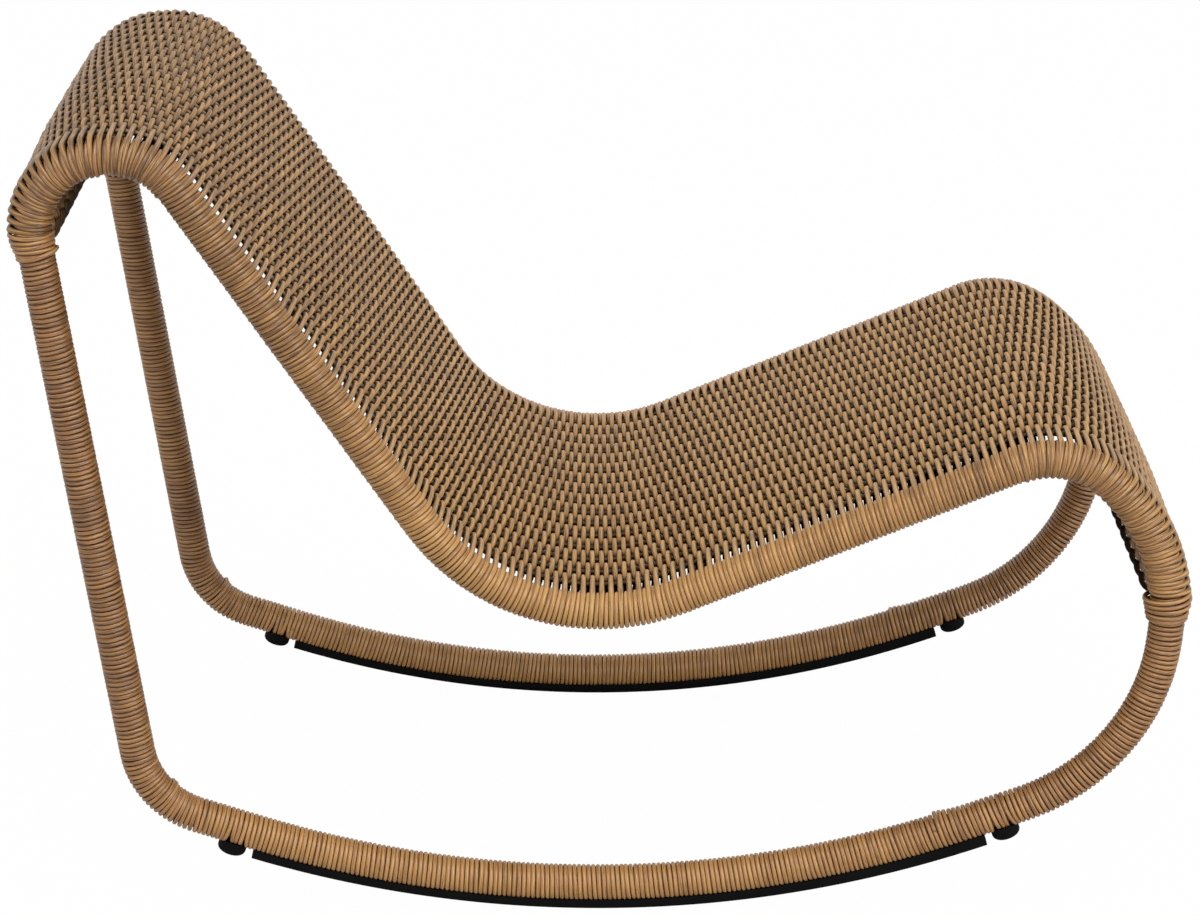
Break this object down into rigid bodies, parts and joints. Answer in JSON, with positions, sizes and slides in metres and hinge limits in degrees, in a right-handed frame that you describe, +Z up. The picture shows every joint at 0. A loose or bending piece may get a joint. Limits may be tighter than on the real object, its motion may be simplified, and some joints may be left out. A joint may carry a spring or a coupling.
{
  "type": "wicker rocking chair",
  "caption": "Low rocking lounge chair: a woven cane sheet from headrest to shins on closed tube loops with curved runners.",
  "frame": {"origin": "centre of the bounding box in plan, on the floor under the runners", "axes": "+X towards the feet of the sitter, +Y to the sitter's left, +Z up"},
  "size_m": [1.0813, 0.5746, 0.7569],
  "materials": {
    "frame_tube": "brown powder-coated tube",
    "sleeve_metal": "bare turned sleeve",
    "cane_wrap": "round synthetic cane, streaked, close wound",
    "cane_weave": "round synthetic cane, streaked, plain weave",
    "cane_stake": "round synthetic cane, darker",
    "strip_rubber": "matt black runner strip",
    "foot_rubber": "matt black stop foot",
    "screw_steel": "zinc-plated screw"
  },
  "bodies": {
    "root": {"right_rocker_tube": "frame_tube", "left_rocker_tube": "frame_tube", "right_rail_tube": "frame_tube", "left_rail_tube": "frame_tube", "rear_joint_sleeves": "sleeve_metal", "front_joint_sleeves": "sleeve_metal", "head_crossbar": "frame_tube", "back_crossbar": "frame_tube", "seat_rear_crossbar": "frame_tube", "seat_front_crossbar": "frame_tube", "front_crossbar": "frame_tube", "right_leg_wrap": "cane_wrap", "left_leg_wrap": "cane_wrap", "right_heel_wrap": "cane_wrap", "left_heel_wrap": "cane_wrap", "right_runner_wrap": "cane_wrap", "left_runner_wrap": "cane_wrap", "right_toe_wrap": "cane_wrap", "left_toe_wrap": "cane_wrap", "right_rail_wrap": "cane_wrap", "left_rail_wrap": "cane_wrap", "head_crossbar_wrap": "cane_wrap", "front_crossbar_wrap": "cane_wrap", "right_head_lashing": "cane_wrap", "left_head_lashing": "cane_wrap", "right_front_lashing": "cane_wrap", "left_front_lashing": "cane_wrap", "weave_stakes": "cane_stake", "head_weave": "cane_weave", "back_weave": "cane_weave", "lumbar_weave": "cane_weave", "seat_weave": "cane_weave", "knee_weave": "cane_weave", "shin_weave": "cane_weave", "right_runner_strip": "strip_rubber", "left_runner_strip": "strip_rubber", "strip_screws": "screw_steel", "right_rear_foot": "foot_rubber", "right_front_foot": "foot_rubber", "left_rear_foot": "foot_rubber", "left_front_foot": "foot_rubber", "foot_screws": "screw_steel"}
  },
  "joints": []
}
